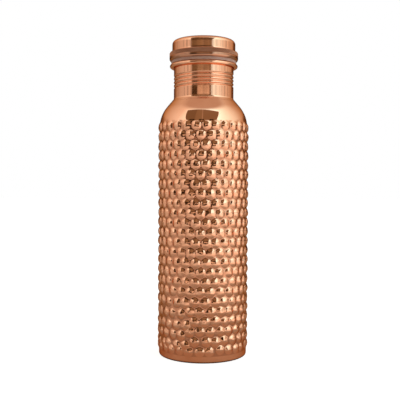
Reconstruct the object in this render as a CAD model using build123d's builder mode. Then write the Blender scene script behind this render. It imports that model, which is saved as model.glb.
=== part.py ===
"""Copper water bottle with a screw lid: a thin-walled spun bottle and a lid whose threaded plug turns in its neck.

Millimetres, +Z up, origin at the centre of the foot, on the surface that the bottle stands on.
Every round piece is a revolved sheet profile. A profile is drawn on Plane.XZ, where x is the radius and y the height.
"""

import os
from math import cos, radians, sin, tan

from build123d import *

# ---- driving dimensions -------------------------------------------------------------------------------------
SHEET = 0.6  # thickness of all the copper sheet
GAP = 0.05  # between pieces that are pressed or brazed together

HEIGHT = 262.5  # foot to the top of the lid
BODY_R = 36.7  # smooth wall above the foot
CREST_R = 38.0  # crests of the hammered bumps
FOOT_CORNER_R = 1.8
FOOT_LIP_R = 31.5  # inner edge of the lip that is turned in under the base plate

ROWS = 24  # of hammered bumps
ROW_PITCH = 7.83
ROWS_FOOT_Z = 5.7  # the lowest row begins here; the highest ends just on the shoulder
VALLEY_R = 36.9  # between two rows

SHOULDER_R = 26.5  # radius of the shoulder's arc in section
SHOULDER_Z = 190.1  # height where that arc leaves the vertical wall
SHOULDER_SWEEP = 40.0  # degrees of arc, before the straight cone to the neck

NECK_R = 25.0  # outside of the neck
NECK_FILLET = 2.5  # from the shoulder's cone into the neck
NECK_SEAM_R = 27.0  # the neck is brazed to the shoulder here, edge to edge

MOUTH_Z = 242.6  # top of the rolled mouth bead
BEAD_R = 28.37  # outside of the mouth bead
BEAD_HEIGHT = 3.2  # it is a flattened curl, wider than high
BEAD_SEAM = 0.25  # the curl's free edge stops this far from the neck
BEAD_WIRE_R = 0.9

PLATE_TOP_Z = 4.4  # the base plate's upper side
PLATE_FLANGE_Z = 1.9  # lower edge of its turned-down flange
PLATE_CORNER_R = 1.2

PITCH = 3.0  # of the rolled, right-handed thread
THREAD_DEPTH = 0.75
THREAD_FIT = 0.25  # radial clearance between the neck's thread and the plug's
THREAD_START_ANGLE = 150.0
THREAD_START_Z = 222.85
NECK_TURNS = 4.1
PLUG_TURNS = 4.6
LAP = 0.02  # turns by which the metal behind a groove runs past the groove's ends
LEAD_IN = 0.15  # turns by which the plug's groove begins below the neck's thread
RIB_START = 0.35  # turns after which the metal behind the plug's groove begins, above the nose
# Half heights of the thread's ribs and grooves: at their deepest, and where they meet the wall.
NECK_GROOVE = (0.35, 1.17)
NECK_RIB = (0.35, 1.03)
PLUG_GROOVE = (0.45, 1.15)
PLUG_RIB = (0.6, 1.3)
RIB_ROOT = 0.1  # how far a rib runs into the wall that it stands on
CUT_PAST = 0.2  # how far a groove's cutter runs out of the wall that it cuts
TRIM = 1.0  # width of the ring that trims the plug's rib off its nose

LID_R = 26.4  # smooth wall of the lid
LID_TOP_CORNER_R = 3.4
GRIP_R = 28.75  # outside of the knurled grip bead
GRIP_TOP_Z = 251.3  # upper edge of the straight band that carries the knurl
GRIP_FOOT_Z = 247.35  # lower edge of that band
GRIP_ROUND_R = 1.2  # from the band onto the bead's top
GRIP_COVE_R = 0.5  # hollow corner between the bead's top and the wall
GRIP_LIP_R = 2.6
GRIP_LIP_SWEEP = 55.0

FLANGE_Z = 245.75  # underside of the plug's flange
FLANGE_R = 27.25
PLUG_FOOT_Z = 221.8
PLUG_NOSE_R = 23.1
PLUG_NOSE_CORNER_R = 0.9
PLUG_NOSE_Z = 223.35  # the nose widens to the threaded wall above this
PLUG_WALL_Z = 224.4

SEAL_BORE_R = 24.35
SEAL_R = 27.2
SEAL_CLEARANCE = 0.1  # above the mouth bead
SEAL_EDGE_R = 0.5

RING_BORE_R = 26.25
RING_CORNER_R = 0.8

# ---- worked out from them -----------------------------------------------------------------------------------
ROWS_TOP_Z = ROWS_FOOT_Z + ROWS * ROW_PITCH
SHOULDER_CENTRE_R = BODY_R - SHOULDER_R
CONE_R = SHOULDER_CENTRE_R + SHOULDER_R * cos(radians(SHOULDER_SWEEP))
CONE_Z = SHOULDER_Z + SHOULDER_R * sin(radians(SHOULDER_SWEEP))
CONE_SLOPE = tan(radians(SHOULDER_SWEEP))  # radius lost per millimetre of height
CURL_R = BEAD_HEIGHT / 2
CURL_FOOT_Z = MOUTH_Z - CURL_R
PLUG_R = NECK_R - SHEET - THREAD_FIT


def cone_z(radius):
    """Height of the shoulder's outer cone at a radius."""
    return CONE_Z + (CONE_R - radius) / CONE_SLOPE


def shoulder_radius(height):
    """Outer radius of the shoulder's arc at a height."""
    rise = height - SHOULDER_Z
    return SHOULDER_CENTRE_R + (SHOULDER_R**2 - rise**2) ** 0.5


def export(part, name):
    """Labels a finished piece and writes it as parts/name.step."""
    part.label = name
    export_step(part, f"parts/{name}.step")


def thread_solid(deep_r, wide_r, half_heights, first_turn, turns):
    """A helical bar whose section is a trapezium from deep_r to wide_r, on the bottle's thread helix."""
    depth = wide_r - deep_r
    deep_half, wide_half = half_heights
    with BuildPart(mode=Mode.PRIVATE) as bar:
        with BuildLine() as path:
            Helix(PITCH, PITCH * turns, deep_r)
        section = Plane(origin=path.line @ 0, x_dir=(1, 0, 0), z_dir=path.line % 0)
        with BuildSketch(section):
            with BuildLine():
                Polyline((0, -deep_half), (depth, -wide_half), (depth, wide_half), (0, deep_half), close=True)
            make_face()
        sweep(path=path.line, is_frenet=True)
    start = Pos(0, 0, THREAD_START_Z + PITCH * first_turn)
    return start * Rot(0, 0, THREAD_START_ANGLE + 360 * first_turn) * bar.part


def body_line(inset):
    """The wall's line from the top of the foot corner to the start of the shoulder, moved in by the inset."""
    Line((BODY_R - inset, FOOT_CORNER_R), (BODY_R - inset, ROWS_FOOT_Z))
    for row in range(ROWS):
        low_z = ROWS_FOOT_Z + row * ROW_PITCH
        low_r = BODY_R if row == 0 else VALLEY_R
        high_r = shoulder_radius(ROWS_TOP_Z) if row == ROWS - 1 else VALLEY_R
        ThreePointArc(
            (low_r - inset, low_z),
            (CREST_R - inset, low_z + ROW_PITCH / 2),
            (high_r - inset, low_z + ROW_PITCH),
        )


os.makedirs("parts", exist_ok=True)

# ---- bottle: body shell -------------------------------------------------------------------------------------
# One sheet: foot lip, wall, hammered zone and shoulder. Each hammered row is drawn as one rounded ring.
with BuildPart() as body_shell:
    with BuildSketch(Plane.XZ):
        with BuildLine():
            Line((FOOT_LIP_R, 0), (BODY_R - FOOT_CORNER_R, 0))
            corner_centre = (BODY_R - FOOT_CORNER_R, FOOT_CORNER_R)
            CenterArc(corner_centre, FOOT_CORNER_R, -90, 90)
            body_line(0)
            body_line(SHEET)
            CenterArc(corner_centre, FOOT_CORNER_R - SHEET, -90, 90)
            Line((FOOT_LIP_R, SHEET), (BODY_R - FOOT_CORNER_R, SHEET))
            Line((FOOT_LIP_R, 0), (FOOT_LIP_R, SHEET))
            outer_start = (shoulder_radius(ROWS_TOP_Z), ROWS_TOP_Z)
            inner_start = (shoulder_radius(ROWS_TOP_Z) - SHEET, ROWS_TOP_Z)
            sweep_cos = cos(radians(SHOULDER_SWEEP))
            sweep_sin = sin(radians(SHOULDER_SWEEP))
            inner_cone = (CONE_R - SHEET * sweep_cos, CONE_Z - SHEET * sweep_sin)
            outer_seam = (NECK_SEAM_R, cone_z(NECK_SEAM_R))
            inner_seam = (NECK_SEAM_R - SHEET * sweep_cos, cone_z(NECK_SEAM_R) - SHEET * sweep_sin)
            RadiusArc(outer_start, (CONE_R, CONE_Z), -SHOULDER_R)
            RadiusArc(inner_start, inner_cone, -SHOULDER_R + SHEET)
            Polyline((CONE_R, CONE_Z), outer_seam, inner_seam, inner_cone)
        make_face()
    revolve(axis=Axis.Z)
export(body_shell.part, "body_shell")

# ---- bottle: base plate -------------------------------------------------------------------------------------
# A shallow pan, pressed in above the foot lip with its flange down and brazed to the wall.
with BuildPart() as base_plate:
    plate_r = BODY_R - SHEET - GAP
    with BuildSketch(Plane.XZ):
        with BuildLine():
            flange = Line((plate_r, PLATE_FLANGE_Z), (plate_r, PLATE_TOP_Z - PLATE_CORNER_R))
            corner = JernArc(flange @ 1, flange % 1, PLATE_CORNER_R, 90)
            Line(corner @ 1, (0, PLATE_TOP_Z))
            offset(amount=SHEET, side=Side.LEFT, kind=Kind.INTERSECTION)
        make_face()
    revolve(axis=Axis.Z)
export(base_plate.part, "base_plate")

# ---- bottle: neck -------------------------------------------------------------------------------------------
# Drawn along its inner surface, which becomes the outside of the curl at the mouth.
with BuildPart() as neck:
    slope = radians(SHOULDER_SWEEP)
    seam_r = NECK_SEAM_R - GAP
    seam = Vector(seam_r - SHEET * cos(slope), cone_z(seam_r) - SHEET * sin(slope))
    bore_r = NECK_R - SHEET
    fillet_r = NECK_FILLET + SHEET
    knee_z = seam.Y + (seam.X - bore_r) / CONE_SLOPE
    setback = fillet_r * tan(slope / 2)
    with BuildSketch(Plane.XZ):
        with BuildLine():
            flare_end = (bore_r + setback * sin(slope), knee_z - setback * cos(slope))
            flare = Line((seam.X, seam.Y), flare_end)
            bend = JernArc(flare @ 1, flare % 1, fillet_r, -SHOULDER_SWEEP)
            Line(bend @ 1, (bore_r, CURL_FOOT_Z))
            offset(amount=SHEET, side=Side.RIGHT, kind=Kind.INTERSECTION)
        make_face()
        with BuildLine():
            rise = JernArc((bore_r, CURL_FOOT_Z), (0, 1), CURL_R, -90)
            top = Line(rise @ 1, (BEAD_R - CURL_R, MOUTH_Z))
            turn = JernArc(top @ 1, top % 1, CURL_R, -180)
            Line(turn @ 1, (NECK_R + BEAD_SEAM, MOUTH_Z - BEAD_HEIGHT))
            offset(amount=SHEET, side=Side.RIGHT, kind=Kind.INTERSECTION)
        make_face()
    revolve(axis=Axis.Z)
    rib_r = bore_r - THREAD_DEPTH
    rib_turns = NECK_TURNS + 2 * LAP
    add(thread_solid(rib_r, bore_r + RIB_ROOT, NECK_RIB, -LAP, rib_turns))
    groove_r = NECK_R - THREAD_DEPTH
    add(thread_solid(groove_r, NECK_R + CUT_PAST, NECK_GROOVE, 0, NECK_TURNS), mode=Mode.SUBTRACT)
export(neck.part, "neck")

# ---- bottle: wire inside the mouth bead ---------------------------------------------------------------------
with BuildPart() as mouth_bead_wire:
    with BuildSketch(Plane.XZ):
        with Locations((BEAD_R - CURL_R, CURL_FOOT_Z)):
            Circle(BEAD_WIRE_R)
    revolve(axis=Axis.Z)
export(mouth_bead_wire.part, "mouth_bead_wire")

# ---- lid: cap -----------------------------------------------------------------------------------------------
# One sheet: flat top, smooth wall, and a grip bead whose lip is rolled under the plug's flange.
with BuildPart() as lid_cap:
    with BuildSketch(Plane.XZ):
        with BuildLine():
            crown = Line((0, HEIGHT), (LID_R - LID_TOP_CORNER_R, HEIGHT))
            corner = JernArc(crown @ 1, crown % 1, LID_TOP_CORNER_R, -90)
            wall = Line(corner @ 1, (LID_R, GRIP_TOP_Z + GRIP_ROUND_R + GRIP_COVE_R))
            cove = JernArc(wall @ 1, wall % 1, GRIP_COVE_R, 90)
            ledge = Line(cove @ 1, (GRIP_R - GRIP_ROUND_R, GRIP_TOP_Z + GRIP_ROUND_R))
            swell = JernArc(ledge @ 1, ledge % 1, GRIP_ROUND_R, -90)
            band = Line(swell @ 1, (GRIP_R, GRIP_FOOT_Z))
            JernArc(band @ 1, band % 1, GRIP_LIP_R, -GRIP_LIP_SWEEP)
            offset(amount=SHEET, side=Side.RIGHT, kind=Kind.INTERSECTION)
        make_face()
    revolve(axis=Axis.Z)
export(lid_cap.part, "lid_cap")

# ---- lid: threaded plug -------------------------------------------------------------------------------------
with BuildPart() as lid_plug:
    with BuildSketch(Plane.XZ):
        with BuildLine():
            floor = Line((0, PLUG_FOOT_Z), (PLUG_NOSE_R - PLUG_NOSE_CORNER_R, PLUG_FOOT_Z))
            corner = JernArc(floor @ 1, floor % 1, PLUG_NOSE_CORNER_R, 90)
            Polyline(
                corner @ 1,
                (PLUG_NOSE_R, PLUG_NOSE_Z),
                (PLUG_R, PLUG_WALL_Z),
                (PLUG_R, FLANGE_Z),
                (FLANGE_R, FLANGE_Z),
            )
            offset(amount=SHEET, side=Side.LEFT, kind=Kind.INTERSECTION)
        make_face()
    revolve(axis=Axis.Z)
    inner_r = PLUG_R - SHEET
    rib_turns = PLUG_TURNS - LEAD_IN - RIB_START + LAP
    add(thread_solid(inner_r - THREAD_DEPTH, inner_r + RIB_ROOT, PLUG_RIB, RIB_START, rib_turns))
    with BuildSketch(Plane.XZ):
        with BuildLine():
            Polyline(
                (PLUG_NOSE_R, PLUG_FOOT_Z - TRIM),
                (PLUG_NOSE_R, PLUG_NOSE_Z),
                (PLUG_R, PLUG_WALL_Z),
                (PLUG_R + TRIM, PLUG_WALL_Z),
                (PLUG_R + TRIM, PLUG_FOOT_Z - TRIM),
                close=True,
            )
        make_face()
    revolve(axis=Axis.Z, mode=Mode.SUBTRACT)
    root_r = PLUG_R - THREAD_DEPTH
    add(thread_solid(root_r, PLUG_R + CUT_PAST, PLUG_GROOVE, -LEAD_IN, PLUG_TURNS), mode=Mode.SUBTRACT)
export(lid_plug.part, "lid_plug")

# ---- lid: ring that backs the knurled band ------------------------------------------------------------------
# It also holds the plug's flange down on the cap's rolled lip.
with BuildPart() as lid_grip_ring:
    ring_foot = FLANGE_Z + SHEET + 2 * GAP
    ring_r = GRIP_R - SHEET - GAP
    with BuildSketch(Plane.XZ):
        with Locations(((RING_BORE_R + ring_r) / 2, (ring_foot + GRIP_TOP_Z) / 2)):
            RectangleRounded(ring_r - RING_BORE_R, GRIP_TOP_Z - ring_foot, RING_CORNER_R)
    revolve(axis=Axis.Z)
export(lid_grip_ring.part, "lid_grip_ring")

# ---- lid: sealing ring --------------------------------------------------------------------------------------
with BuildPart() as lid_gasket:
    seal_foot = MOUTH_Z + SEAL_CLEARANCE
    seal_top = FLANGE_Z - GAP
    with BuildSketch(Plane.XZ) as seal_section:
        with Locations(((SEAL_BORE_R + SEAL_R) / 2, (seal_foot + seal_top) / 2)):
            Rectangle(SEAL_R - SEAL_BORE_R, seal_top - seal_foot)
        fillet(seal_section.vertices().group_by(Axis.X)[-1], SEAL_EDGE_R)
    revolve(axis=Axis.Z)
export(lid_gasket.part, "lid_gasket")
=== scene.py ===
"""Copper water bottle: the visible pieces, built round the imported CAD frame.

The bottle stands on Z = 0 with its axis on Z, and the camera looks from the side of -Y. Sizes are in
millimetres, and an outline is a list of pairs of radius and height. They become metres when a mesh is made.
"""

import bpy
import numpy as np
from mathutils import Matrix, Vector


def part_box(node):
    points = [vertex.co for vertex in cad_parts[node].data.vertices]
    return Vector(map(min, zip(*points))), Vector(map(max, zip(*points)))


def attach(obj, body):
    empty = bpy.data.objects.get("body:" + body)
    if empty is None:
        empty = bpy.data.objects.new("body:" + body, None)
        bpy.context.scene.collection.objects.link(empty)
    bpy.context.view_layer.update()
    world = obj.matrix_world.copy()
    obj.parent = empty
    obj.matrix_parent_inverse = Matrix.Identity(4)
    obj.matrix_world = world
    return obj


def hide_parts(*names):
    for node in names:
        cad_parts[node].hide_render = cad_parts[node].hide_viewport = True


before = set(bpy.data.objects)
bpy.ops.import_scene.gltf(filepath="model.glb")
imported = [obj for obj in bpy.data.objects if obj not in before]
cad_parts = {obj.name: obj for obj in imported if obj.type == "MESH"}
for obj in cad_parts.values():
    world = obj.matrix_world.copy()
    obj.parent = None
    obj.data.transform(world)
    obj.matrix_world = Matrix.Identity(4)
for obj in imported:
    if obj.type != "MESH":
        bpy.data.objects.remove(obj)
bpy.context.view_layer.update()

MM = 0.001

# ---- sizes that the frame gives, in millimetres --------------------------------------------------


def extent(node):
    """Outer radius, lowest and highest point of a CAD node."""
    low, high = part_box(node)
    return high.x / MM, low.z / MM, high.z / MM


CREST_R, _, SHELL_TOP_Z = extent("body_shell")
BEAD_R, NECK_FOOT_Z, MOUTH_Z = extent("neck")
GRIP_R, _, LID_TOP_Z = extent("lid_cap")
FLANGE_R, PLUG_FOOT_Z, FLANGE_TOP_Z = extent("lid_plug")
SEAL_R, SEAL_FOOT_Z, SEAL_TOP_Z = extent("lid_gasket")
RING_R, RING_FOOT_Z, RING_TOP_Z = extent("lid_grip_ring")
PLATE_R, PLATE_FOOT_Z, PLATE_TOP_Z = extent("base_plate")
WIRE_OUT_R, WIRE_FOOT_Z, WIRE_TOP_Z = extent("mouth_bead_wire")

# ---- sizes inside those boxes, in millimetres ----------------------------------------------------

SHEET = 0.6
EDGE = 0.12  # rounding of a cut sheet edge
POLE_R = 0.6  # of the smallest ring round the middle of a disc
SAME_POINT = 1e-4  # points of an outline that are closer than this are one
ON_WALL = 1e-3  # how far from a wall a point still belongs to it
SHARP = np.radians(50)  # edges that turn more than this are shaded sharp

BODY_COLUMNS = 480  # mesh columns round each kind of piece
THREAD_COLUMNS = 288
PLAIN_COLUMNS = 192
HIDDEN_COLUMNS = 144

WALL_R = 36.7
FOOT_CORNER_R = 1.8
FOOT_LIP_R = 31.5
WALL_STEPS, INNER_WALL_STEPS = 340, 60  # mesh rings up the wall, outside and inside the sheet

ROWS = 24
ROW_PITCH = 7.83
FIRST_ROW_Z = 9.6
PER_ROW = 28
FRONT = 270  # degrees round from +X to the camera's side
FIRST_BUMP = -3.5  # degrees round from +X, where the even rows start
SEED = 7  # of all that is uneven about the hammering
BUMP_R = 3.8  # of a bump's foot
BUMP_SIZE_CHANGE = (-0.06, 0.03)  # smallest and largest, as parts of the bump
BUMP_HEIGHT_LOSS = (0.05, 0.17)
BUMP_TURN_SPREAD = 0.008  # radians
BUMP_RISE_SPREAD = 0.16
LOOSE = 1.2  # how much less evenly the lowest row is placed
LOOSE_ROWS = 4.0  # and over how many rows that dies down
CRISP_Z = (60, 135)  # from the lower height to the upper one, the bumps get crisper
BUMP_SOFT = (0.38, 0.28)  # how gently a bump's foot runs into the wall, at those heights
VALLEY_DEPTH = (0.12, 0.28)  # of the grooves between the bumps, below the plain wall
SLIP = [0.3, 3.6, 3.9, 3.4, 2.0, 0.9]  # how far the lowest rows drop where they don't meet the others
SLIP_FROM, SLIP_TO = -98.5, -15.5  # degrees round from the front, to the left
SLIP_FADE = 8.0
DENTS = 90  # waves that add up to the hammer's uneven marks
DENT_HEIGHT = 0.065
DENT_LENGTH = (2.4, 6.0)  # shortest and longest of those waves
VALLEY_MARKS = 0.5  # how much of them the valleys between the bumps get
ZONE_FOOT_Z, ZONE_TOP_Z = 6.0, 194.0  # where the marks begin and end
ZONE_FADE = 4.0
INNER_MARKS = 0.9  # how much of the marks the inside of the sheet gets
DARK_VALLEY_FOOT_Z, DARK_VALLEY_TOP_Z = 5.6, 192.0  # between these heights the valleys are coloured darker
PLAIN_RELIEF = 0.6  # of the smooth foot and shoulder, for the material

SHOULDER_R = 26.5
SHOULDER_Z = 190.1
SHOULDER_SWEEP = np.radians(40)

NECK_R = 25.0
NECK_FILLET = 2.5
NECK_SEAM_R = 26.95
NECK_PLAIN = 1.5  # from the thread up to the mouth bead
BEAD_HEIGHT = 3.2
BEAD_GAP = 0.25
WIRE_STEPS = 24  # points round the wire's own section

PITCH = 3.0
THREAD_DEPTH = 0.75
THREAD_Z = 222.85  # of the groove where it starts
THREAD_ANGLE = np.radians(150)
THREAD_HALF = 1.2  # half the groove's height
NECK_TURNS = 4.1
PLUG_FIRST_TURN, PLUG_TURNS = -0.5, 4.45  # where its grooves start and end, counted on the neck's
TAPER = 0.07  # turns in which a groove fades out

PLUG_R = 24.15
PLUG_NOSE_R = 23.1
PLUG_NOSE_Z, PLUG_WALL_Z = 1.55, 2.6  # above the plug's foot: where its nose ends and its wall begins
PLUG_CORNER_R = 0.9
PLUG_STEP = 0.3  # how much higher the inside of the plug widens than the outside
PLUG_PLAIN = 1.0  # from the thread up to the flange

LID_R = 26.4
LID_CORNER_R = 3.4
COVE_R = 0.5
GRIP_TOP_Z = 251.3
GRIP_FOOT_Z = 247.35
GRIP_ROUND_R = 1.2
GRIP_LIP_R = 2.6
GRIP_LIP_SWEEP = 55  # degrees

KNURLS = 96  # diamonds round the grip
KNURL_DEPTH = 0.45
KNURL_ROWS = 2
KNURL_STEPS = 8  # mesh columns in one diamond
KNURL_FOOT_Z = 248.4
KNURL_TOP_Z = 252.2
KNURL_FADE = 0.2  # of a diamond, at the band's two edges
KNURL_WALL = (0.08, 0.88)  # from a diamond's middle to its edge: where the groove's wall begins and ends
KNURL_SHADE = 0.1  # lowers the relief of the whole band, before its grooves, for its painted shade
LIP_SHADE_RELIEF = 0.46  # the rolled lip gets a little painted shade too

SEAL_BORE_R = 24.35
SEAL_EDGE_R = 0.5
RING_BORE_R = 26.25
RING_CORNER_R = 0.8
PLATE_CORNER_R = 1.2
PLATE_FLAT_R = 20.0  # of the flat middle
WELL_OUTER_R, WELL_INNER_R = 30.0, 23.5  # of the channel pressed into the plate
WELL_SIDE = 2.5
WELL_DEPTH = 0.5


# ---- outlines ------------------------------------------------------------------------------------


def line(start, end, steps=1):
    """Points of a straight run, without its end."""
    part = np.linspace(0, 1, steps, endpoint=False)[:, None]
    return np.array(start) + part * (np.array(end) - np.array(start))


def arc(centre, radius, first, last, steps):
    """Points of an arc between two angles in degrees, its end included. 0 is outwards and 90 is up."""
    angle = np.radians(np.linspace(first, last, steps + 1))
    return np.array(centre) + radius * np.stack([np.cos(angle), np.sin(angle)], axis=1)


def outline(*runs):
    """One outline from several runs of points, with points that coincide left out."""
    points = np.vstack([np.atleast_2d(run) for run in runs])
    apart = np.linalg.norm(np.diff(points, axis=0), axis=1) > SAME_POINT
    return points[np.concatenate([[True], apart])]


# ---- meshes --------------------------------------------------------------------------------------


def surface(name, radius, height, angle, closed, body, nodes, slot, material, relief=None):
    """A piece whose rings have the radius and height given for every ring (rows) and angle (columns).

    A closed outline joins its last ring to its first. An open one starts and ends on the axis. Both go
    round the section anticlockwise, up the outside, so that the faces look outwards. relief, from 0 in
    hollows to 1 on crests, is kept on the mesh for the material. On the lid's grip it is also lowered for
    painted shade.
    """
    rings, columns = radius.shape
    places = [radius * np.cos(angle), radius * np.sin(angle), height]
    points = np.stack(places, axis=-1).reshape(-1, 3) * MM
    ring = np.arange(rings if closed else rings - 1)[:, None]
    column = np.arange(columns)[None, :]
    low, high = ring * columns, (ring + 1) % rings * columns
    after = (column + 1) % columns
    quads = np.stack([low + column, low + after, high + after, high + column], axis=-1)
    faces = quads.reshape(-1, 4).tolist()
    if not closed:
        first_pole, last_pole = len(points), len(points) + 1
        poles = [[0, 0, height[0].mean() * MM], [0, 0, height[-1].mean() * MM]]
        points = np.vstack([points, poles])
        last = (rings - 1) * columns
        for here in range(columns):
            there = (here + 1) % columns
            faces.append([first_pole, there, here])
            faces.append([last_pole, last + here, last + there])
    mesh = bpy.data.meshes.new(name)
    mesh.from_pydata(points.tolist(), [], faces)
    wear = mesh.attributes.new("relief", "FLOAT", "POINT")
    level = np.ones(len(points), np.float32)
    if relief is not None:
        level[: relief.size] = relief.ravel()
    wear.data.foreach_set("value", level)
    mesh.shade_smooth()
    mesh.set_sharp_from_angle(angle=SHARP)
    mesh.materials.append(material)
    piece = bpy.data.objects.new(name, mesh)
    bpy.context.scene.collection.objects.link(piece)
    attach(piece, body)
    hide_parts(*nodes)


def turned(points, columns, change=None):
    """Radius, height and angle arrays of an outline spun round the axis.

    change(radius, height, angle) gives back the radius and height that the piece gets.
    """
    angle = np.linspace(0, 2 * np.pi, columns, endpoint=False)[None, :]
    radius = np.repeat(points[:, :1], columns, axis=1)
    height = np.repeat(points[:, 1:], columns, axis=1)
    if change:
        radius, height = change(radius, height, angle)
    return radius, height, angle


def smooth_step(value):
    """0 below 0, 1 above 1 and a smooth rise between."""
    value = np.clip(value, 0, 1)
    return value * value * (3 - 2 * value)


def groove(height, angle, turns, first_turn=0.0):
    """Depth of the rolled thread, from 0 to 1, at a height and angle."""
    phase = (angle - THREAD_ANGLE) / (2 * np.pi) % 1.0
    along = (height - THREAD_Z) / PITCH - phase
    nearest = np.round(along)
    off = np.abs(along - nearest) * PITCH
    done = nearest + phase
    fade = smooth_step((done - first_turn) / TAPER) * smooth_step((turns - done) / TAPER)
    return 0.5 * (1 + np.cos(np.pi * np.clip(off / THREAD_HALF, 0, 1))) * fade


# ---- hammered body -------------------------------------------------------------------------------

rng = np.random.default_rng(SEED)
SHAPE = (ROWS, PER_ROW)
row_number = np.arange(ROWS)[:, None]
looseness = 1 + LOOSE * np.exp(-row_number / LOOSE_ROWS)
bump_turn = np.radians(FIRST_BUMP) + rng.normal(0, BUMP_TURN_SPREAD, SHAPE) * looseness
bump_rise = rng.normal(0, BUMP_RISE_SPREAD, SHAPE) * looseness
steps_round = np.arange(PER_ROW)[None, :] + 0.5 * (row_number % 2)
from_front = steps_round * 360 / PER_ROW + FIRST_BUMP - FRONT
in_slip = smooth_step((from_front - SLIP_FROM) / SLIP_FADE)
in_slip = in_slip * smooth_step((SLIP_TO - from_front) / SLIP_FADE)
bump_rise[: len(SLIP)] -= in_slip[: len(SLIP)] * np.array(SLIP)[:, None]
bump_size = BUMP_R * (1 + rng.uniform(*BUMP_SIZE_CHANGE, SHAPE))
bump_height = (CREST_R - WALL_R) * (1 - rng.uniform(*BUMP_HEIGHT_LOSS, SHAPE))


def hammered(height, angle, soft, valley):
    """How far the hammered wall stands out of the smooth one, at arrays of height and angle.

    soft rounds the foot of the bumps, and valley is how far the wall sinks between them.
    """
    step = 2 * np.pi / PER_ROW
    tallest = np.full(np.broadcast(height, angle).shape, -1.0)  # deeper than any valley
    near_row = np.round((height - FIRST_ROW_Z) / ROW_PITCH).astype(int)
    for row_offset in (-1, 0, 1):
        row = near_row + row_offset
        real = (row >= 0) & (row < ROWS)
        row = np.clip(row, 0, ROWS - 1)
        stagger = 0.5 * (row % 2)
        near_column = np.round(angle / step - stagger).astype(int)
        for column_offset in (-1, 0, 1):
            column = (near_column + column_offset) % PER_ROW
            centre = (column + stagger) * step + bump_turn[row, column]
            aside = ((angle - centre + np.pi) % (2 * np.pi) - np.pi) * WALL_R
            higher = height - FIRST_ROW_Z - row * ROW_PITCH - bump_rise[row, column]
            foot, top = bump_size[row, column], bump_height[row, column]
            ball = (foot**2 + top**2) / (2 * top)
            cap = np.sqrt(np.maximum(ball**2 - aside**2 - higher**2, 0)) - (ball - top)
            tallest = np.where(real, np.maximum(tallest, cap), tallest)
    above = tallest + valley
    return 0.5 * (above + np.sqrt(above**2 + soft**2)) - valley


wave_length = rng.uniform(*DENT_LENGTH, DENTS)
wave_heading = rng.uniform(0, np.pi, DENTS)
wave_round = np.round(2 * np.pi * WALL_R / wave_length * np.cos(wave_heading))
wave_up = 2 * np.pi / wave_length * np.sin(wave_heading)
wave_start = rng.uniform(0, 2 * np.pi, DENTS)


def dents(height, angle):
    """The hammer's uneven marks on top of the bumps, in and out, at arrays of height and angle."""
    total = np.zeros(np.broadcast(height, angle).shape)
    for around, up, start in zip(wave_round, wave_up, wave_start):
        total += np.cos(around * angle + up * height + start)
    return total * DENT_HEIGHT * np.sqrt(2 / DENTS)


def body_outline(inset, wall_steps):
    """The body's wall from the foot corner to the neck seam, moved in along its normal by inset."""
    centre_r = WALL_R - SHOULDER_R
    wall_r, shoulder_r = WALL_R - inset, SHOULDER_R - inset
    sweep = np.degrees(SHOULDER_SWEEP)
    corner = arc((WALL_R - FOOT_CORNER_R, FOOT_CORNER_R), FOOT_CORNER_R - inset, -90, 0, 8)
    wall = line((wall_r, FOOT_CORNER_R), (wall_r, SHOULDER_Z), wall_steps)
    shoulder = arc((centre_r, SHOULDER_Z), shoulder_r, 0, sweep, wall_steps // 6)
    seam_z = SHELL_TOP_Z - inset * np.sin(SHOULDER_SWEEP)  # the sheet is cut square across
    seam_r = shoulder[-1][0] - (seam_z - shoulder[-1][1]) * np.tan(SHOULDER_SWEEP)
    cone = line(shoulder[-1], (seam_r, seam_z), 6)
    return outline(corner, wall, shoulder, cone, [(seam_r, seam_z)])


def make_body(material):
    """Foot, hammered wall and shoulder, with the sheet's inside and the rolled foot lip."""
    outer = body_outline(0, WALL_STEPS)
    inner = body_outline(SHEET, INNER_WALL_STEPS)[::-1]
    foot_in = line((WALL_R - FOOT_CORNER_R, SHEET), (FOOT_LIP_R + EDGE, SHEET), 3)
    lip = arc((FOOT_LIP_R + SHEET / 2, SHEET / 2), SHEET / 2, 90, 270, 6)
    foot_out = line((FOOT_LIP_R + SHEET / 2, 0), (WALL_R - FOOT_CORNER_R, 0), 3)
    points = outline(foot_out, outer, inner, foot_in, lip)
    outside = np.zeros(len(points), bool)
    outside[: len(foot_out) + len(outer)] = True

    radius, height, angle = turned(points, BODY_COLUMNS)
    zone = smooth_step((height - ZONE_FOOT_Z) / ZONE_FADE)
    zone = zone * smooth_step((ZONE_TOP_Z - height) / ZONE_FADE)
    soft = np.interp(height, CRISP_Z, BUMP_SOFT)
    bumps = hammered(height, angle, soft, zone * np.interp(height, CRISP_Z, VALLEY_DEPTH))
    marked = zone * (VALLEY_MARKS + (1 - VALLEY_MARKS) * smooth_step(bumps / soft))
    out = (bumps + marked * dents(height, angle)) * (height > FOOT_CORNER_R)
    out = np.minimum(out, CREST_R - WALL_R)
    lift = np.where(outside[:, None], out, out * INNER_MARKS)
    relief = np.clip(out / (CREST_R - WALL_R), 0, 1)
    darker_valleys = (height > DARK_VALLEY_FOOT_Z) & (height < DARK_VALLEY_TOP_Z)
    relief = np.where(darker_valleys, relief, PLAIN_RELIEF)
    shape = (radius + lift, height, angle)
    nodes = ["body_shell"]
    surface("hammered_body", *shape, True, "bottle", nodes, "copper_hammered", material, relief)


# ---- neck and mouth ------------------------------------------------------------------------------


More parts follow.
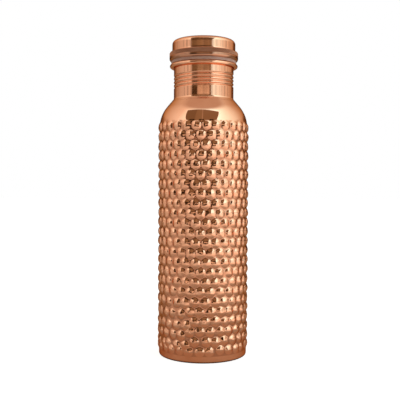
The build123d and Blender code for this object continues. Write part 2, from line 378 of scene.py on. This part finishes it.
def make_neck(material):
    """Fillet, threaded tube and the bead rolled outwards at the mouth."""
    bore = NECK_R - SHEET
    sweep = np.degrees(SHOULDER_SWEEP)
    tan_sweep = np.tan(SHOULDER_SWEEP)
    edge = SHEET * np.array([np.cos(SHOULDER_SWEEP), np.sin(SHOULDER_SWEEP)])
    seam_in = np.array([NECK_SEAM_R - edge[0], NECK_FOOT_Z])
    seam_out = seam_in + edge
    knee_z = seam_in[1] + (seam_in[0] - bore) / tan_sweep
    inner_fillet = NECK_FILLET + SHEET
    setback = inner_fillet * np.tan(SHOULDER_SWEEP / 2)
    centre = (bore + inner_fillet, knee_z + setback)
    curl_r = BEAD_HEIGHT / 2
    curl_in = (bore + curl_r, MOUTH_Z - curl_r)
    curl_out = (BEAD_R - curl_r, MOUTH_Z - curl_r)
    bead_foot_z = MOUTH_Z - BEAD_HEIGHT
    hem_r = NECK_R + BEAD_GAP
    thread_foot_z, thread_top_z = THREAD_Z - THREAD_HALF, bead_foot_z - NECK_PLAIN
    points = outline(
        [seam_out],
        arc(centre, NECK_FILLET, 180 + sweep, 180, 10),
        line((NECK_R, knee_z + setback), (NECK_R, thread_foot_z), 6),
        line((NECK_R, thread_foot_z), (NECK_R, thread_top_z), 90),
        line((NECK_R, thread_top_z), (NECK_R, curl_in[1]), 4),
        arc(curl_in, curl_r - SHEET, 180, 90, 8),
        arc(curl_out, curl_r - SHEET, 90, -90, 16),
        [(hem_r, bead_foot_z + SHEET), (hem_r, bead_foot_z + EDGE), (hem_r + EDGE, bead_foot_z)],
        arc(curl_out, curl_r, -90, 90, 24),
        arc(curl_in, curl_r, 90, 180, 12),
        line((bore, curl_in[1]), (bore, thread_top_z), 4),
        line((bore, thread_top_z), (bore, thread_foot_z), 90),
        line((bore, thread_foot_z), (bore, knee_z + setback), 6),
        arc(centre, inner_fillet, 180, 180 + sweep, 10),
        [seam_in],
    )

    def thread(radius, height, angle):
        on_wall = radius < NECK_R + ON_WALL
        return radius - on_wall * THREAD_DEPTH * groove(height, angle, NECK_TURNS), height

    shape = turned(points, THREAD_COLUMNS, thread)
    surface("threaded_neck", *shape, True, "bottle", ["neck"], "copper_polished", material)


def make_mouth_wire(material):
    """The wire inside the mouth bead."""
    wire_r = (WIRE_TOP_Z - WIRE_FOOT_Z) / 2
    centre = (WIRE_OUT_R - wire_r, WIRE_FOOT_Z + wire_r)
    shape = turned(arc(centre, wire_r, 0, 360 - 360 / WIRE_STEPS, WIRE_STEPS - 1), HIDDEN_COLUMNS)
    surface("mouth_wire", *shape, True, "bottle", ["mouth_bead_wire"], "copper_polished", material)


# ---- base plate ----------------------------------------------------------------------------------


def well(flat_z):
    """The channel pressed into the base plate, from its outer edge to its inner one."""
    low_z = flat_z - WELL_DEPTH
    outer, inner = (WELL_OUTER_R, flat_z), (WELL_INNER_R, flat_z)
    return [outer, (WELL_OUTER_R - WELL_SIDE, low_z), (WELL_INNER_R + WELL_SIDE, low_z), inner]


def make_base_plate(material):
    """A shallow pan with its rim turned down and a round channel."""
    corner_centre = (PLATE_R - PLATE_CORNER_R, PLATE_TOP_Z - PLATE_CORNER_R)
    under_z = PLATE_TOP_Z - SHEET
    points = outline(
        line((POLE_R, under_z), (WELL_INNER_R, under_z), 8),
        well(under_z)[::-1],
        arc(corner_centre, PLATE_CORNER_R - SHEET, 90, 0, 6),
        [(PLATE_R - SHEET, PLATE_FOOT_Z + EDGE), (PLATE_R - SHEET + EDGE, PLATE_FOOT_Z)],
        [(PLATE_R - EDGE, PLATE_FOOT_Z), (PLATE_R, PLATE_FOOT_Z + EDGE)],
        arc(corner_centre, PLATE_CORNER_R, 0, 90, 8),
        well(PLATE_TOP_Z),
        line((PLATE_FLAT_R, PLATE_TOP_Z), (POLE_R, PLATE_TOP_Z), 8),
        [(POLE_R, PLATE_TOP_Z)],
    )
    shape = turned(points, PLAIN_COLUMNS)
    surface("base_pan", *shape, False, "bottle", ["base_plate"], "copper_polished", material)


# ---- lid -----------------------------------------------------------------------------------------


def lid_sheet(inset, band_steps):
    """The cap's line from its lip up to the middle of its top, moved inwards by inset."""
    ledge_z = GRIP_TOP_Z + GRIP_ROUND_R
    cove_z = ledge_z + COVE_R
    corner = (LID_R - LID_CORNER_R, LID_TOP_Z - LID_CORNER_R)
    return outline(
        arc((GRIP_R - GRIP_LIP_R, GRIP_FOOT_Z), GRIP_LIP_R - inset, -GRIP_LIP_SWEEP, 0, 10),
        line((GRIP_R - inset, GRIP_FOOT_Z), (GRIP_R - inset, GRIP_TOP_Z), band_steps),
        arc((GRIP_R - GRIP_ROUND_R, GRIP_TOP_Z), GRIP_ROUND_R - inset, 0, 90, 20),
        arc((LID_R + COVE_R, cove_z), COVE_R + inset, 270, 180, 8),
        line((LID_R - inset, cove_z), (LID_R - inset, corner[1]), 5),
        arc(corner, LID_CORNER_R - inset, 0, 90, 14),
        line((corner[0], LID_TOP_Z - inset), (POLE_R, LID_TOP_Z - inset), 10),
        [(POLE_R, LID_TOP_Z - inset)],
    )


def make_lid_cap(material):
    """The spun cap, with diamonds cut into the upper part of its grip bead."""
    inner = lid_sheet(SHEET, 4)[::-1]
    points = outline(inner, lid_sheet(0, KNURL_ROWS * KNURL_STEPS * 2))
    outside = (np.arange(len(points)) >= len(inner))[:, None]

    radius, height, angle = turned(points, KNURLS * KNURL_STEPS)
    across = angle * KNURLS / (2 * np.pi)
    up = (height - KNURL_FOOT_Z) / (KNURL_TOP_Z - KNURL_FOOT_Z) * KNURL_ROWS
    band = outside & (up > 0) & (up < KNURL_ROWS) & (radius > LID_R + COVE_R)
    rising = np.abs((across + up) % 1.0 - 0.5) * 2
    falling = np.abs((across - up) % 1.0 - 0.5) * 2
    ends = smooth_step(up / KNURL_FADE) * smooth_step((KNURL_ROWS - up) / KNURL_FADE)
    wall_start, wall_end = KNURL_WALL
    towards_edge = 1 - np.minimum(rising, falling)
    cut = band * ends * smooth_step((towards_edge - wall_start) / (wall_end - wall_start))
    # Painted shade: the knurl's grooves and the rolled lip get a low relief, which the spun copper turns
    # nearly black
    relief = 1 - band * ends * KNURL_SHADE - (1 - KNURL_SHADE) * cut
    relief = np.where(outside & (height < KNURL_FOOT_Z), LIP_SHADE_RELIEF, relief)
    shape = (radius - cut * KNURL_DEPTH, height, angle)
    surface("knurled_cap", *shape, False, "lid", ["lid_cap"], "copper_polished", material, relief)


def make_plug(material):
    """The threaded cup under the lid, with the flange that the cap holds."""
    bore = PLUG_R - SHEET
    nose_in = PLUG_NOSE_R - SHEET
    flange_foot_z = FLANGE_TOP_Z - SHEET
    nose_z, wall_z = PLUG_FOOT_Z + PLUG_NOSE_Z, PLUG_FOOT_Z + PLUG_WALL_Z
    corner = (PLUG_NOSE_R - PLUG_CORNER_R, PLUG_FOOT_Z + PLUG_CORNER_R)
    points = outline(
        line((POLE_R, PLUG_FOOT_Z), (corner[0], PLUG_FOOT_Z), 10),
        arc(corner, PLUG_CORNER_R, -90, 0, 8),
        [(PLUG_NOSE_R, nose_z)],
        line((PLUG_R, wall_z), (PLUG_R, flange_foot_z - EDGE), 100),
        arc((PLUG_R + EDGE, flange_foot_z - EDGE), EDGE, 180, 90, 3),
        [(FLANGE_R - EDGE, flange_foot_z), (FLANGE_R, flange_foot_z + EDGE)],
        [(FLANGE_R, FLANGE_TOP_Z - EDGE), (FLANGE_R - EDGE, FLANGE_TOP_Z)],
        arc((bore + SHEET, flange_foot_z), SHEET, 90, 180, 6),
        line((bore, flange_foot_z - EDGE), (bore, wall_z + PLUG_STEP), 100),
        [(bore, wall_z + PLUG_STEP), (nose_in, nose_z + PLUG_STEP)],
        arc(corner, PLUG_CORNER_R - SHEET, 0, -90, 5),
        line((corner[0], PLUG_FOOT_Z + SHEET), (POLE_R, PLUG_FOOT_Z + SHEET), 10),
        [(POLE_R, PLUG_FOOT_Z + SHEET)],
    )

    def thread(radius, height, angle):
        on_wall = (radius > bore - ON_WALL) & (radius < PLUG_R + ON_WALL)
        on_wall = on_wall & (height < flange_foot_z - PLUG_PLAIN)
        return radius - on_wall * THREAD_DEPTH * groove(height, angle, PLUG_TURNS, PLUG_FIRST_TURN), height

    shape = turned(points, THREAD_COLUMNS, thread)
    surface("threaded_plug", *shape, False, "lid", ["lid_plug"], "copper_polished", material)


def make_grip_ring(material):
    """The ring inside the lid's grip bead."""
    inner, outer = RING_BORE_R + RING_CORNER_R, RING_R - RING_CORNER_R
    low, high = RING_FOOT_Z + RING_CORNER_R, RING_TOP_Z - RING_CORNER_R
    points = outline(
        arc((outer, low), RING_CORNER_R, -90, 0, 6),
        arc((outer, high), RING_CORNER_R, 0, 90, 6),
        arc((inner, high), RING_CORNER_R, 90, 180, 6),
        arc((inner, low), RING_CORNER_R, 180, 270, 6),
    )
    shape = turned(points, HIDDEN_COLUMNS)
    surface("grip_ring", *shape, True, "lid", ["lid_grip_ring"], "copper_polished", material)


def make_gasket(material):
    """The sealing ring under the lid's flange."""
    low, high = SEAL_FOOT_Z + SEAL_EDGE_R, SEAL_TOP_Z - SEAL_EDGE_R
    outer = SEAL_R - SEAL_EDGE_R
    points = outline(
        line((SEAL_BORE_R + EDGE, SEAL_FOOT_Z), (outer, SEAL_FOOT_Z), 3),
        arc((outer, low), SEAL_EDGE_R, -90, 0, 6),
        line((SEAL_R, low), (SEAL_R, high), 3),
        arc((outer, high), SEAL_EDGE_R, 0, 90, 6),
        line((outer, SEAL_TOP_Z), (SEAL_BORE_R + EDGE, SEAL_TOP_Z), 3),
        [(SEAL_BORE_R + EDGE, SEAL_TOP_Z), (SEAL_BORE_R, SEAL_TOP_Z - EDGE)],
        [(SEAL_BORE_R, SEAL_FOOT_Z + EDGE)],
    )
    shape = turned(points, PLAIN_COLUMNS)
    surface("sealing_ring", *shape, True, "gasket", ["lid_gasket"], "silicone", material)


# ---- materials -----------------------------------------------------------------------------------

COPPER_RIM = (0.80, 0.45, 0.28)  # what copper reflects at a glancing angle
COPPER_PATCHES = (0.3, 0.5, 0.72)  # places of its three colours in the noise
SEAL_COLOURS = [(0.3, (0.46, 0.24, 0.175)), (0.7, (0.55, 0.30, 0.22))]
SEAL_ROUGHNESS = (0.38, 0.5)
COPPER_GRAIN_DEPTH = 0.00002  # metres
SEAL_GRAIN_DEPTH = 0.00003
NOISE_RANGE = (0.3, 0.7)  # noise seldom passes these


def new_material(name):
    """An empty node material with its shader. Returns material, nodes, links and the shader."""
    material = bpy.data.materials.new(name)
    material.use_nodes = True
    tree = material.node_tree
    return material, tree.nodes, tree.links, tree.nodes["Principled BSDF"]


def noise(nodes, links, coordinate, scale, detail, rough=0.55, stretch=(1, 1, 1)):
    """Noise in metres of the piece's own space, stretched along its axes."""
    mapping = nodes.new("ShaderNodeMapping")
    mapping.inputs["Scale"].default_value = stretch
    texture = nodes.new("ShaderNodeTexNoise")
    texture.inputs["Scale"].default_value = scale
    texture.inputs["Detail"].default_value = detail
    texture.inputs["Roughness"].default_value = rough
    links.new(coordinate, mapping.inputs["Vector"])
    links.new(mapping.outputs["Vector"], texture.inputs["Vector"])
    return texture.outputs["Fac"]


def ramp(nodes, links, value, stops):
    """A colour ramp over a value, from (position, colour) stops."""
    node = nodes.new("ShaderNodeValToRGB")
    elements = node.color_ramp.elements
    for place, (position, colour) in enumerate(stops):
        element = elements[place] if place < 2 else elements.new(position)
        element.position = position
        element.color = (*colour, 1)
    links.new(value, node.inputs["Fac"])
    return node.outputs["Color"]


def spread(nodes, links, value, low, high):
    """A value of noise, spread between two numbers."""
    node = nodes.new("ShaderNodeMapRange")
    node.inputs["From Min"].default_value = NOISE_RANGE[0]
    node.inputs["From Max"].default_value = NOISE_RANGE[1]
    node.inputs["To Min"].default_value = low
    node.inputs["To Max"].default_value = high
    links.new(value, node.inputs["Value"])
    return node.outputs["Result"]


def fine_marks(nodes, links, height, strength, depth, shader):
    """Marks too fine for the mesh, on the shader's normal. depth is in metres."""
    bump = nodes.new("ShaderNodeBump")
    bump.inputs["Strength"].default_value = strength
    bump.inputs["Distance"].default_value = depth
    links.new(height, bump.inputs["Height"])
    links.new(bump.outputs["Normal"], shader.inputs["Normal"])


def math_node(nodes, links, operation, *values):
    """A value worked out from sockets and numbers."""
    node = nodes.new("ShaderNodeMath")
    node.operation = operation
    for place, value in enumerate(values):
        if isinstance(value, (int, float)):
            node.inputs[place].default_value = value
        else:
            links.new(value, node.inputs[place])
    return node.outputs["Value"]


def product(nodes, links, first, *others):
    """The product of sockets and numbers."""
    for other in others:
        first = math_node(nodes, links, "MULTIPLY", first, other)
    return first


def rest_of(nodes, links, part):
    """What a part from 0 to 1 leaves of the whole."""
    return math_node(nodes, links, "SUBTRACT", 1.0, part)


def rise(nodes, links, value, start, end):
    """0 below start, 1 above end and a smooth step between."""
    node = nodes.new("ShaderNodeMapRange")
    node.interpolation_type = "SMOOTHSTEP"
    node.inputs["From Min"].default_value = start
    node.inputs["From Max"].default_value = end
    links.new(value, node.inputs["Value"])
    return node.outputs["Result"]


def blend_colours(nodes, links, part, first, second):
    """The first colour where part is 0 and the second where it is 1. Either may be a socket or a colour."""
    mix = nodes.new("ShaderNodeMix")
    mix.data_type = "RGBA"
    links.new(part, mix.inputs["Factor"])
    for name, colour in (("A", first), ("B", second)):
        if isinstance(colour, tuple):
            mix.inputs[name].default_value = (*colour, 1)
        else:
            links.new(colour, mix.inputs[name])
    return mix.outputs["Result"]


def copper(name, colours, roughness, grain, stretch, hollow_colour, reach):
    """Polished copper: faint patches of colour, a darker colour in the hollows, fine marks in roughness and
    height.

    hollow_colour is that darker colour, and reach is the relief up to which it is found. Where it is nearly
    black, on the lid's grip, it is painted shade.
    """
    material, nodes, links, shader = new_material(name)
    place = nodes.new("ShaderNodeTexCoord").outputs["Object"]
    patches = noise(nodes, links, place, scale=55, detail=4)
    clean = ramp(nodes, links, patches, list(zip(COPPER_PATCHES, colours)))
    relief = nodes.new("ShaderNodeAttribute")
    relief.attribute_name = "relief"
    hollow = nodes.new("ShaderNodeMapRange")
    hollow.inputs["From Min"].default_value = reach
    hollow.inputs["From Max"].default_value = 0.0
    links.new(relief.outputs["Fac"], hollow.inputs["Value"])
    colour = blend_colours(nodes, links, hollow.outputs["Result"], clean, hollow_colour)
    links.new(colour, shader.inputs["Base Color"])
    marks = noise(nodes, links, place, scale=260, detail=6, rough=0.6, stretch=stretch)
    links.new(spread(nodes, links, marks, *roughness), shader.inputs["Roughness"])
    fine = noise(nodes, links, place, scale=900, detail=3, rough=0.5, stretch=stretch)
    fine_marks(nodes, links, fine, grain, COPPER_GRAIN_DEPTH, shader)
    shader.inputs["Metallic"].default_value = 1.0
    shader.inputs["Specular Tint"].default_value = (*COPPER_RIM, 1)
    return material


def silicone():
    """Grey translucent rubber with a soft sheen."""
    material, nodes, links, shader = new_material("silicone_grey")
    place = nodes.new("ShaderNodeTexCoord").outputs["Object"]
    patches = noise(nodes, links, place, scale=180, detail=3)
    links.new(ramp(nodes, links, patches, SEAL_COLOURS), shader.inputs["Base Color"])
    links.new(spread(nodes, links, patches, *SEAL_ROUGHNESS), shader.inputs["Roughness"])
    fine = noise(nodes, links, place, scale=2500, detail=2)
    fine_marks(nodes, links, fine, 0.15, SEAL_GRAIN_DEPTH, shader)
    shader.inputs["Subsurface Weight"].default_value = 0.25
    shader.inputs["Subsurface Radius"].default_value = (0.002, 0.0015, 0.0012)
    shader.inputs["Subsurface Scale"].default_value = 1.0
    shader.inputs["IOR"].default_value = 1.41
    return material


# ---- stage, lights and camera --------------------------------------------------------------------

CAMERA_DISTANCE = 0.5739  # metres from the axis
CAMERA_HEIGHT = 0.1423  # metres above the floor
CAMERA_SIDE = -0.0027  # metres towards +X
CAMERA_PITCH = np.radians(1.29)  # downwards
CAMERA_ROLL = np.radians(-0.27)
CAMERA_LENS = 61.3
SENSOR = 36.0

# What the metal reflects: a tent with an opening in front. A list goes round with the light's colour at each
# azimuth, in degrees from the camera's side and rising towards +X. A pair of elevations is a soft edge.
# The tent is TENT_LOW at the foot, then TENT_WALL from WALL_RISE up, TENT_UPPER from UPPER_RISE up and its
# roof from ROOF_RISE up. The opening is OPENING_LOW as high as BOX_TOP, and OPENING_HIGH and the beam above.
TENT_LOW = [
    (-180, (0.07, 0.05, 0.04)),
    (-140, (0.09, 0.07, 0.05)),
    (-122, (0.22, 0.18, 0.14)),
    (-108, (0.72, 0.70, 0.66)),
    (-46, (0.82, 0.84, 0.80)),
    (28, (1.15, 1.65, 1.90)),
    (70, (1.10, 1.48, 1.62)),
    (93, (0.92, 1.05, 1.06)),
    (103, (0.26, 0.20, 0.15)),
    (114, (0.09, 0.07, 0.05)),
    (180, (0.07, 0.05, 0.04)),
]
TENT_WALL = [
    (-180, (0.09, 0.07, 0.055)),
    (-147, (0.18, 0.14, 0.11)),
    (-132, (0.42, 0.37, 0.31)),
    (-92, (0.68, 0.66, 0.62)),
    (-46, (0.66, 0.66, 0.63)),
    (28, (1.00, 1.42, 1.62)),
    (60, (0.98, 1.22, 1.28)),
    (82, (0.82, 0.84, 0.80)),
    (100, (0.72, 0.68, 0.60)),
    (126, (0.56, 0.49, 0.40)),
    (138, (0.18, 0.13, 0.09)),
    (180, (0.08, 0.06, 0.045)),
]
TENT_UPPER = [
    (-180, (0.16, 0.12, 0.09)),
    (-168, (0.20, 0.16, 0.12)),
    (-152, (0.58, 0.54, 0.47)),
    (-115, (0.78, 0.76, 0.70)),
    (-75, (1.02, 1.06, 1.02)),
    (-46, (1.32, 1.70, 1.80)),
    (28, (1.70, 2.80, 3.40)),
    (62, (1.45, 2.00, 2.20)),
    (95, (1.02, 1.24, 1.26)),
    (125, (0.72, 0.68, 0.60)),
    (154, (0.50, 0.45, 0.38)),
    (168, (0.20, 0.16, 0.12)),
    (180, (0.16, 0.12, 0.09)),
]
TENT_ROOF_COLOUR = (0.58, 0.52, 0.46)
WALL_RISE = (np.radians(4), np.radians(6.5))
UPPER_RISE = (np.radians(12.5), np.radians(20))
ROOF_RISE = (np.radians(50), np.radians(66))
OPENING_LEFT, OPENING_RIGHT = -46, 28
OPENING_EDGE = 0.5  # half the width of its soft edges, in degrees
OPENING_TOP = np.radians(59)
OPENING_TOP_FADE = np.radians(1)
OPENING_ARCH = 7.0  # how fast its top drops to both sides, in radians for each turn squared
FLARE_START = np.radians(10)  # above this elevation the opening widens
FLARE_LEFT, FLARE_RIGHT = 0.3, 0.65  # degrees wider for each degree up
OPENING_LOW = [
    (-24.5, (0.03, 0.018, 0.008)),
    (-23.5, (0.78, 0.71, 0.61)),
    (22, (0.78, 0.71, 0.61)),
    (23, (0.14, 0.10, 0.06)),
]
OPENING_HIGH = [
    (-25, (0.22, 0.17, 0.10)),
    (-22, (0.29, 0.23, 0.14)),
    (-4.5, (0.29, 0.23, 0.14)),
    (-3.5, (0.50, 0.42, 0.33)),
    (-2.5, (0.50, 0.42, 0.33)),
    (-1.5, (0.27, 0.21, 0.13)),
]
BOX_TOP = (np.radians(8.2), np.radians(8.6))
BEAM_FOOT = (np.radians(13.2), np.radians(14.5))  # of the dark beam across the opening
BEAM_TOP = (np.radians(20.5), np.radians(22))
BEAM_COLOUR = (0.03, 0.018, 0.009)
FOLDS = 45  # soft folds in the tent's cloth, round the whole of its lower part
FOLD_LIGHT = (0.76, 1.26)

# The floor, in metres from the axis. Between the two distances of a pair, one look runs into the next.
FLOOR_HALF = 6.0
NEAR_FLOOR = (0.66, 0.49, 0.375)  # painted bounce light: warm beside the foot, where the copper throws its colour; only reflections see it
OPEN_FLOOR = (0.58, 0.54, 0.50)
NEAR_RISE = (0.05, 0.11)
FOOT_SHADE = (0.0365, 0.0395)  # painted contact shadow: dark where the foot's corner meets the floor
# painted shade, seen only in reflections: the floor's colour beyond the table's edge and at the foot's
# corner
FLOOR_SHADE_PAINT = (0.12, 0.085, 0.055)
TABLE_EDGE = (0.52, 0.60)  # in the opening's directions the pale floor ends there; beyond it the floor is painted dark for reflections
TABLE_SIDE = 2.0  # half the width of that gap's soft sides, in degrees

# Painted light: the floor's glow, which only reflections see, in place of the tent's light on it. It is
# brighter away from the object, most on the right, and dim near the object as painted shade.
GLOW_RISE = (0.08, 0.32)
GLOW_LEFT, GLOW_RIGHT = 0.25, 0.85
GLOW_REACH = 0.4
GLOW_BACK = (0.1, -0.06)  # behind the object it ends
CAMERA_GLOW = 0.82  # for the camera alone, so that the floor runs into the white behind


def ramp_place(azimuth):
    """Place on a ramp that goes once round, from an azimuth in degrees."""
    return 0.5 + azimuth / 360


def place_round(nodes, links, east, north):
    """The same place for a direction or a point, from its parts along X and Y."""
    south = math_node(nodes, links, "MULTIPLY", north, -1.0)
    azimuth = math_node(nodes, links, "ARCTAN2", east, south)
    return math_node(nodes, links, "MULTIPLY_ADD", azimuth, 0.5 / np.pi, 0.5)


def between_sides(nodes, links, from_left, from_right, edge):
    """1 between the opening's two sides and 0 outside, from the places that count for each side.

    edge is half the width of its soft edges, in degrees.
    """
    left, right = ramp_place(OPENING_LEFT), ramp_place(OPENING_RIGHT)
    soft = edge / 360
    past_left = rise(nodes, links, from_left, left - soft, left + soft)
    before_right = rise(nodes, links, from_right, right + soft, right - soft)
    return product(nodes, links, past_left, before_right)


def make_stage():
    """A pale floor, with a glow in place of the tent's light on it: painted light. For reflections it also
    has painted bounce light and shadow by the foot, and painted shade beyond the table's edge.
    """
    mesh = bpy.data.meshes.new("floor")
    corners = [(-1, -1), (1, -1), (1, 1), (-1, 1)]
    mesh.from_pydata([(x * FLOOR_HALF, y * FLOOR_HALF, 0) for x, y in corners], [], [(0, 1, 2, 3)])
    material, nodes, links, shader = new_material("floor_white")
    shader.inputs["Roughness"].default_value = 0.7
    place = nodes.new("ShaderNodeTexCoord").outputs["Object"]
    parts = nodes.new("ShaderNodeSeparateXYZ")
    links.new(place, parts.inputs["Vector"])
    length = nodes.new("ShaderNodeVectorMath")
    length.operation = "LENGTH"
    links.new(place, length.inputs[0])
    away = length.outputs["Value"]
    around = place_round(nodes, links, parts.outputs["X"], parts.outputs["Y"])
    # Painted shade for reflections: beyond the table's edge, in the opening's directions, the floor is dark
    # and has no glow
    gap = between_sides(nodes, links, around, around, TABLE_SIDE)
    gap = product(nodes, links, gap, rise(nodes, links, away, *TABLE_EDGE))
    side = nodes.new("ShaderNodeMapRange")
    side.inputs["From Min"].default_value = -GLOW_REACH
    side.inputs["From Max"].default_value = GLOW_REACH
    side.inputs["To Min"].default_value = GLOW_LEFT
    side.inputs["To Max"].default_value = GLOW_RIGHT
    links.new(parts.outputs["X"], side.inputs["Value"])
    # painted light: the glow grows away from the object and to the right; near the object it is painted
    # shade
    far = rise(nodes, links, away, *GLOW_RISE)
    front = rise(nodes, links, parts.outputs["Y"], *GLOW_BACK)
    no_gap = rest_of(nodes, links, gap)
    reflected = product(nodes, links, far, side.outputs["Result"], front, no_gap)
    camera_ray = nodes.new("ShaderNodeLightPath").outputs["Is Camera Ray"]
    seen = product(nodes, links, camera_ray, CAMERA_GLOW)
    unseen = rest_of(nodes, links, camera_ray)
    glow = nodes.new("ShaderNodeEmission")
    strength = math_node(nodes, links, "MULTIPLY_ADD", reflected, unseen, seen)
    links.new(strength, glow.inputs["Strength"])
    # painted bounce light: warm beside the foot
    paint = blend_colours(nodes, links, rise(nodes, links, away, *NEAR_RISE), NEAR_FLOOR, OPEN_FLOOR)
    # painted contact shadow at the foot's corner, and painted shade beyond the table's edge
    paint = blend_colours(nodes, links, rise(nodes, links, away, *FOOT_SHADE), FLOOR_SHADE_PAINT, paint)
    paint = blend_colours(nodes, links, gap, paint, FLOOR_SHADE_PAINT)
    paint = blend_colours(nodes, links, camera_ray, paint, OPEN_FLOOR)
    links.new(paint, shader.inputs["Base Color"])
    both = nodes.new("ShaderNodeAddShader")
    links.new(shader.outputs["BSDF"], both.inputs[0])
    links.new(glow.outputs["Emission"], both.inputs[1])
    links.new(both.outputs["Shader"], nodes["Material Output"].inputs["Surface"])
    mesh.materials.append(material)
    floor = bpy.data.objects.new("floor", mesh)
    bpy.context.scene.collection.objects.link(floor)


def make_world():
    """White behind the object, and a photographer's tent for the metal to reflect.

    The tent is brightest beside the opening's right edge and dark at the back. In the opening stands a
    lighter box, with a dark gap on its left and a dark beam across the dim space above it.
    """
    world = bpy.data.worlds.new("studio")
    bpy.context.scene.world = world
    world.use_nodes = True
    nodes, links = world.node_tree.nodes, world.node_tree.links
    heading = nodes.new("ShaderNodeTexCoord").outputs["Generated"]
    parts = nodes.new("ShaderNodeSeparateXYZ")
    links.new(heading, parts.inputs["Vector"])
    east, north, up = parts.outputs["X"], parts.outputs["Y"], parts.outputs["Z"]
    around = place_round(nodes, links, east, north)
    elevation = math_node(nodes, links, "ARCSINE", up)

    def round_ramp(stops):
        return ramp(nodes, links, around, [(ramp_place(azimuth), colour) for azimuth, colour in stops])

    def by_height(span, low, high):
        return blend_colours(nodes, links, rise(nodes, links, elevation, *span), low, high)

    tent = by_height(WALL_RISE, round_ramp(TENT_LOW), round_ramp(TENT_WALL))
    tent = by_height(UPPER_RISE, tent, round_ramp(TENT_UPPER))
    tent = by_height(ROOF_RISE, tent, TENT_ROOF_COLOUR)
    high = round_ramp(OPENING_HIGH)
    opening = by_height(BOX_TOP, round_ramp(OPENING_LOW), high)
    opening = by_height(BEAM_FOOT, opening, BEAM_COLOUR)
    opening = by_height(BEAM_TOP, opening, high)
    above = math_node(nodes, links, "SUBTRACT", elevation, FLARE_START)
    flare = math_node(nodes, links, "MAXIMUM", above, 0.0)
    from_left = math_node(nodes, links, "MULTIPLY_ADD", flare, FLARE_LEFT / (2 * np.pi), around)
    from_right = math_node(nodes, links, "MULTIPLY_ADD", flare, -FLARE_RIGHT / (2 * np.pi), around)
    middle = ramp_place((OPENING_LEFT + OPENING_RIGHT) / 2)
    off = math_node(nodes, links, "SUBTRACT", around, middle)
    off_squared = product(nodes, links, off, off)
    arched = math_node(nodes, links, "MULTIPLY_ADD", off_squared, OPENING_ARCH, elevation)
    under = rise(nodes, links, arched, OPENING_TOP, OPENING_TOP - OPENING_TOP_FADE)
    inside = between_sides(nodes, links, from_left, from_right, OPENING_EDGE)
    inside = product(nodes, links, inside, under)
    tent_light = nodes["Background"]
    links.new(blend_colours(nodes, links, inside, tent, opening), tent_light.inputs["Color"])
    folds = nodes.new("ShaderNodeTexNoise")
    folds.noise_dimensions = "1D"
    folds.inputs["Scale"].default_value = FOLDS
    links.new(around, folds.inputs["W"])
    fold_light = spread(nodes, links, folds.outputs["Fac"], *FOLD_LIGHT)
    smooth = rise(nodes, links, elevation, *UPPER_RISE)
    folded = rest_of(nodes, links, smooth)
    strength = math_node(nodes, links, "MULTIPLY_ADD", folded, fold_light, smooth)
    links.new(strength, tent_light.inputs["Strength"])
    backdrop = nodes.new("ShaderNodeBackground")
    backdrop.inputs["Color"].default_value = (1, 1, 1, 1)
    path = nodes.new("ShaderNodeLightPath")
    mix = nodes.new("ShaderNodeMixShader")
    links.new(path.outputs["Is Camera Ray"], mix.inputs["Fac"])
    links.new(tent_light.outputs["Background"], mix.inputs[1])
    links.new(backdrop.outputs["Background"], mix.inputs[2])
    links.new(mix.outputs["Shader"], nodes["World Output"].inputs["Surface"])


def make_camera():
    """A camera in front, a little above the bottle's middle."""
    data = bpy.data.cameras.new("camera")
    data.sensor_width = SENSOR
    data.lens = CAMERA_LENS
    camera = bpy.data.objects.new("camera", data)
    bpy.context.scene.collection.objects.link(camera)
    camera.location = (CAMERA_SIDE, -CAMERA_DISTANCE, CAMERA_HEIGHT)
    camera.rotation_euler = (np.pi / 2 - CAMERA_PITCH, CAMERA_ROLL, 0)
    bpy.context.scene.camera = camera


bpy.context.scene.view_settings.view_transform = "Standard"
make_camera()
make_stage()
make_world()

hammered_copper = copper(
    "copper_hammered",
    colours=[(0.89, 0.39, 0.22), (0.93, 0.425, 0.245), (0.95, 0.46, 0.28)],
    roughness=(0.02, 0.06),
    grain=0.15,
    stretch=(1, 1, 1),
    # the valleys between the bumps are coloured darker
    hollow_colour=(0.66, 0.27, 0.15),
    reach=0.2,
)
spun_copper = copper(
    "copper_spun",
    colours=[(0.90, 0.40, 0.225), (0.93, 0.43, 0.25), (0.95, 0.46, 0.275)],
    roughness=(0.06, 0.13),
    grain=0.2,
    stretch=(1, 1, 6),
    # painted shade, nearly black, in the knurl's grooves and on the rolled lip
    hollow_colour=(0.13, 0.04, 0.022),
    reach=0.9,
)
make_body(hammered_copper)
make_neck(spun_copper)
make_mouth_wire(spun_copper)
make_base_plate(spun_copper)
make_lid_cap(spun_copper)
make_plug(spun_copper)
make_grip_ring(spun_copper)
make_gasket(silicone())
